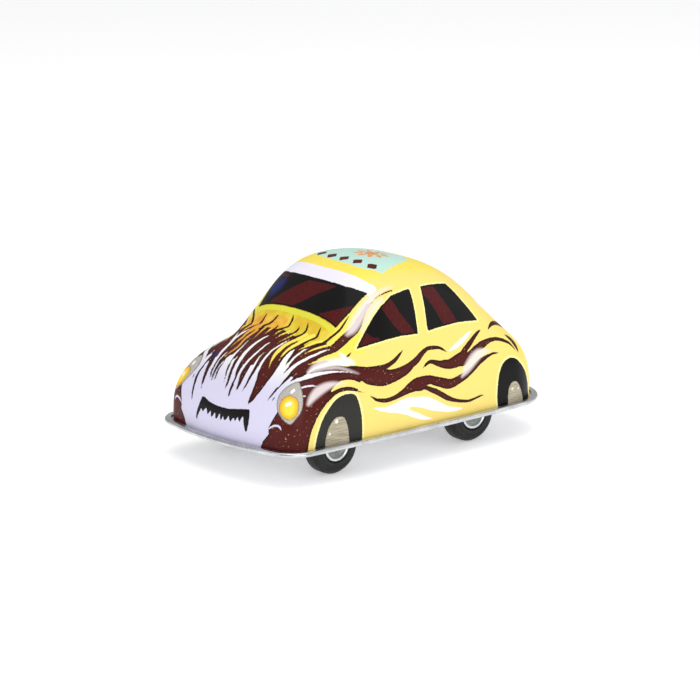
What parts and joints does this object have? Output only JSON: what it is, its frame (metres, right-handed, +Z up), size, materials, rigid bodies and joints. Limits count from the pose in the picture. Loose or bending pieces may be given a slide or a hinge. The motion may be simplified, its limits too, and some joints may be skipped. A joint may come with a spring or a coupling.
{
  "type": "wind-up tin toy car",
  "caption": "Small pressed-tin toy car printed as a striped cat, driven at the rear axle by a clockwork motor that is wound with a butterfly key.",
  "frame": {"origin": "on the ground under the four tyres, at the centre of the whole toy's box in plan, which includes the key on the right side", "axes": "+X towards the car's front, +Y towards its left side, +Z up"},
  "size_m": [0.105, 0.0698, 0.0545],
  "materials": {
    "printed_tin": "glossy lithographed print in yellow, black and red-brown",
    "bright_tin": "bright tinplate",
    "motor_steel": "stamped, slightly dull",
    "key_steel": "nickel plated",
    "spring_steel": "blued",
    "brass": "stamped brass",
    "tyre": "smooth black rubber"
  },
  "bodies": {
    "chassis": {"body_shell": "printed_tin", "base_plate": "bright_tin", "motor_plate_left": "motor_steel", "motor_plate_right": "motor_steel", "motor_pillar_front_top": "motor_steel", "motor_pillar_front_bottom": "motor_steel", "motor_pillar_rear_top": "motor_steel", "motor_pillar_rear_bottom": "motor_steel", "mainspring": "spring_steel"},
    "winding_key": {"winding_arbor": "motor_steel", "ratchet_wheel": "motor_steel", "key_stem": "key_steel", "key_wing": "key_steel"},
    "great_wheel_group": {"great_wheel": "brass", "click_rivet": "motor_steel", "click_spring": "spring_steel"},
    "click_lever": {"click": "motor_steel"},
    "middle_gear_group": {"middle_arbor": "motor_steel", "middle_pinion": "motor_steel", "middle_wheel": "brass"},
    "rear_wheels": {"rear_axle": "motor_steel", "rear_pinion": "motor_steel", "rear_left_spacer": "motor_steel", "rear_right_spacer": "motor_steel", "rear_left_tyre": "tyre", "rear_right_tyre": "tyre", "rear_left_hub": "bright_tin", "rear_right_hub": "bright_tin"},
    "front_wheels": {"front_axle": "motor_steel", "front_left_tyre": "tyre", "front_right_tyre": "tyre", "front_left_hub": "bright_tin", "front_right_hub": "bright_tin"}
  },
  "joints": [
    {"name": "rear_axle_spin", "type": "hinge", "parent": "chassis", "child": "rear_wheels", "pos_m": [-0.0246, 0.00462, 0.0081], "axis": [0, 1, 0], "continuous": true},
    {"name": "front_axle_spin", "type": "hinge", "parent": "chassis", "child": "front_wheels", "pos_m": [0.0267, 0.00462, 0.0081], "axis": [0, 1, 0], "continuous": true},
    {"name": "middle_gear_spin", "type": "hinge", "parent": "chassis", "child": "middle_gear_group", "pos_m": [-0.01885, 0.00462, 0.01806], "axis": [0, 1, 0], "continuous": true},
    {"name": "great_wheel_spin", "type": "hinge", "parent": "chassis", "child": "great_wheel_group", "pos_m": [-0.00571, 0.00462, 0.02419], "axis": [0, 1, 0], "continuous": true},
    {"name": "key_turn", "type": "hinge", "parent": "chassis", "child": "winding_key", "pos_m": [-0.00571, 0.00462, 0.02419], "axis": [0, -1, 0], "range_deg": [0, 1710]},
    {"name": "click_swing", "type": "hinge", "parent": "great_wheel_group", "child": "click_lever", "pos_m": [-0.0113, -0.00153, 0.02888], "axis": [0, 1, 0], "range_deg": [0, 8]}
  ],
  "couplings": [
    {"joint": "middle_gear_spin", "follows": "rear_axle_spin", "ratio": -0.27778},
    {"joint": "great_wheel_spin", "follows": "rear_axle_spin", "ratio": 0.05787}
  ]
}
